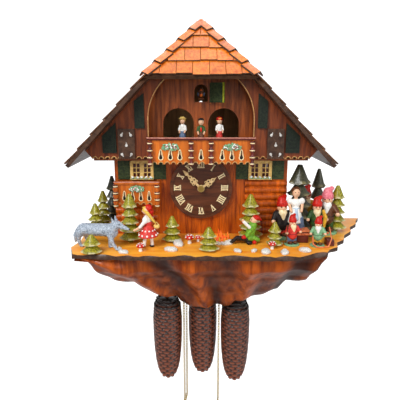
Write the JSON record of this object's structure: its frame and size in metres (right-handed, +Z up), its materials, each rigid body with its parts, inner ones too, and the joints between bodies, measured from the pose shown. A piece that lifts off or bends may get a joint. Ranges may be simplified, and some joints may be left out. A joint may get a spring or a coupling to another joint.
{
  "type": "cuckoo clock",
  "caption": "Wall-hung chalet cuckoo clock: shingled roof, dancers' balcony, cuckoo door, dial with hands, forest scene on a carved base, chains and pine cone weights.",
  "frame": {"origin": "centre of the hanging hole in the back panel, at the wall plane", "axes": "+X right, -Y out of the wall towards the viewer, +Z up"},
  "size_m": [0.6188, 0.26, 0.9795],
  "materials": {
    "plain_wood": "plain pale plywood",
    "case_wood": "red-brown stained, satin lacquer",
    "log_wood": "orange-brown stained, satin lacquer",
    "stage_wood": "grooved boards, stained",
    "dark_wood": "dark walnut stain",
    "shingle_wood": "orange-tan shingles with dark edges",
    "orange_wood": "orange stain with cream edges",
    "red_wood": "dark red painted turned wood",
    "cream_paint": "cream painted frame",
    "green_paint": "dark green paint",
    "base_wood": "lacquered orange-tan wood with a dark chipped edge",
    "carved_wood": "gouged and gloss lacquered",
    "dial_wood": "dark brown turned wood",
    "bone": "bone-coloured, satin",
    "brass": "cut brass",
    "chain_brass": "pale brass link chain",
    "steel": "drawn steel",
    "cone_iron": "cast pine cone, brown lacquer with red-brown scale edges",
    "fir_paint": "green-stained turned wood",
    "figure_paint": "hand-painted wood, several colours",
    "stone_paint": "small pale pebbles",
    "grey_paint": "blue-grey painted wood",
    "bird_paint": "painted carved wood"
  },
  "bodies": {
    "case": {"back_panel": "plain_wood", "side_walls": "case_wood", "front_wall": "log_wood", "stage_floor": "case_wood", "gable_board": "case_wood", "stage_wall": "stage_wood", "roof_boards": "dark_wood", "main_shingles": "shingle_wood", "hip_shingles": "shingle_wood", "ridge_tiles": "shingle_wood", "balcony_panels": "orange_wood", "balcony_rails": "red_wood", "side_balcony": "orange_wood", "window_frames": "cream_paint", "green_shutters": "green_paint", "leaf_shutters": "dark_wood", "gable_shutters": "green_paint", "garlands": "green_paint", "platform": "base_wood", "carved_skirt": "carved_wood", "dial": "dial_wood", "numerals": "bone", "movement_frame": "brass", "fir_trees": "fir_paint", "mushrooms": "figure_paint", "stones": "stone_paint", "wolf": "grey_paint", "girl": "figure_paint", "seated_man": "figure_paint", "gnomes": "figure_paint", "lady": "figure_paint", "workbench": "red_wood", "bellows": "plain_wood", "gong": "steel", "music_box": "steel"},
    "minute_works": {"centre_arbor": "brass", "minute_hand": "bone"},
    "hour_works": {"hour_wheel": "brass", "hour_hand": "bone"},
    "minute_wheel": {"minute_wheel": "brass"},
    "cuckoo_door": {"cuckoo_door": "green_paint"},
    "cuckoo": {"cuckoo_bird": "bird_paint"},
    "dance_ring": {"carousel": "case_wood", "dancers": "figure_paint"},
    "pendulum": {"pendulum": "case_wood"},
    "gong_hammer": {"gong_hammer": "steel"},
    "melody_cylinder": {"music_cylinder": "brass"},
    "weight_left": {"pine_cone_left": "cone_iron", "weight_chain_left": "chain_brass"},
    "free_chain_left": {"free_chain_left": "chain_brass"},
    "chain_wheel_left": {"chain_wheel_left": "brass"},
    "weight_centre": {"pine_cone_centre": "cone_iron", "weight_chain_centre": "chain_brass"},
    "free_chain_centre": {"free_chain_centre": "chain_brass"},
    "chain_wheel_centre": {"chain_wheel_centre": "brass"},
    "weight_right": {"pine_cone_right": "cone_iron", "weight_chain_right": "chain_brass"},
    "free_chain_right": {"free_chain_right": "chain_brass"},
    "chain_wheel_right": {"chain_wheel_right": "brass"}
  },
  "joints": [
    {"name": "minute_hand_turn", "type": "hinge", "parent": "case", "child": "minute_works", "pos_m": [0, -0.12, -0.165], "axis": [0, 1, 0], "continuous": true},
    {"name": "hour_hand_turn", "type": "hinge", "parent": "case", "child": "hour_works", "pos_m": [0, -0.12, -0.165], "axis": [0, 1, 0], "continuous": true},
    {"name": "minute_wheel_turn", "type": "hinge", "parent": "case", "child": "minute_wheel", "pos_m": [0, -0.115, -0.181], "axis": [0, 1, 0], "continuous": true},
    {"name": "cuckoo_slide", "type": "slide", "parent": "case", "child": "cuckoo", "axis": [0, -1, 0], "range_m": [-0.03, 0]},
    {"name": "cuckoo_door_hinge", "type": "hinge", "parent": "case", "child": "cuckoo_door", "pos_m": [0.018, -0.118, 0.02], "axis": [0, 0, 1], "range_deg": [-145, 0]},
    {"name": "dance_ring_turn", "type": "hinge", "parent": "case", "child": "dance_ring", "pos_m": [0, -0.114, -0.076], "axis": [0, 0, 1], "continuous": true},
    {"name": "melody_cylinder_turn", "type": "hinge", "parent": "case", "child": "melody_cylinder", "pos_m": [0.14, -0.07, -0.09], "axis": [0, 1, 0], "continuous": true},
    {"name": "pendulum_swing", "type": "hinge", "parent": "case", "child": "pendulum", "pos_m": [0, -0.0395, -0.124], "axis": [0, 1, 0], "range_deg": [-4, 4]},
    {"name": "gong_hammer_lift", "type": "hinge", "parent": "case", "child": "gong_hammer", "pos_m": [-0.084, -0.016, -0.1555], "axis": [0, -1, 0], "range_deg": [0, 15]},
    {"name": "weight_drop_left", "type": "slide", "parent": "case", "child": "weight_left", "axis": [0, 0, 1], "range_m": [-0.05, 0]},
    {"name": "free_chain_lift_left", "type": "slide", "parent": "case", "child": "free_chain_left", "axis": [0, 0, 1], "range_m": [0, 0.05]},
    {"name": "chain_wheel_turn_left", "type": "hinge", "parent": "case", "child": "chain_wheel_left", "pos_m": [-0.055, -0.106, -0.19], "axis": [0, 1, 0], "range_deg": [-160, 0]},
    {"name": "weight_drop_centre", "type": "slide", "parent": "case", "child": "weight_centre", "axis": [0, 0, 1], "range_m": [-0.05, 0]},
    {"name": "free_chain_lift_centre", "type": "slide", "parent": "case", "child": "free_chain_centre", "axis": [0, 0, 1], "range_m": [0, 0.05]},
    {"name": "chain_wheel_turn_centre", "type": "hinge", "parent": "case", "child": "chain_wheel_centre", "pos_m": [-0.014, -0.084, -0.19], "axis": [0, 1, 0], "range_deg": [0, 160]},
    {"name": "weight_drop_right", "type": "slide", "parent": "case", "child": "weight_right", "axis": [0, 0, 1], "range_m": [-0.05, 0]},
    {"name": "free_chain_lift_right", "type": "slide", "parent": "case", "child": "free_chain_right", "axis": [0, 0, 1], "range_m": [0, 0.05]},
    {"name": "chain_wheel_turn_right", "type": "hinge", "parent": "case", "child": "chain_wheel_right", "pos_m": [0.057, -0.106, -0.19], "axis": [0, 1, 0], "range_deg": [0, 160]}
  ],
  "couplings": [
    {"joint": "hour_hand_turn", "follows": "minute_hand_turn", "ratio": 0.083333},
    {"joint": "minute_wheel_turn", "follows": "minute_hand_turn", "ratio": -0.33333},
    {"joint": "cuckoo_door_hinge", "follows": "cuckoo_slide", "rad_per_m": 84},
    {"joint": "melody_cylinder_turn", "follows": "dance_ring_turn", "ratio": 2},
    {"joint": "free_chain_lift_left", "follows": "weight_drop_left", "ratio": -1},
    {"joint": "chain_wheel_turn_left", "follows": "weight_drop_left", "rad_per_m": 55.556},
    {"joint": "free_chain_lift_centre", "follows": "weight_drop_centre", "ratio": -1},
    {"joint": "chain_wheel_turn_centre", "follows": "weight_drop_centre", "rad_per_m": -55.556},
    {"joint": "free_chain_lift_right", "follows": "weight_drop_right", "ratio": -1},
    {"joint": "chain_wheel_turn_right", "follows": "weight_drop_right", "rad_per_m": -55.556}
  ]
}
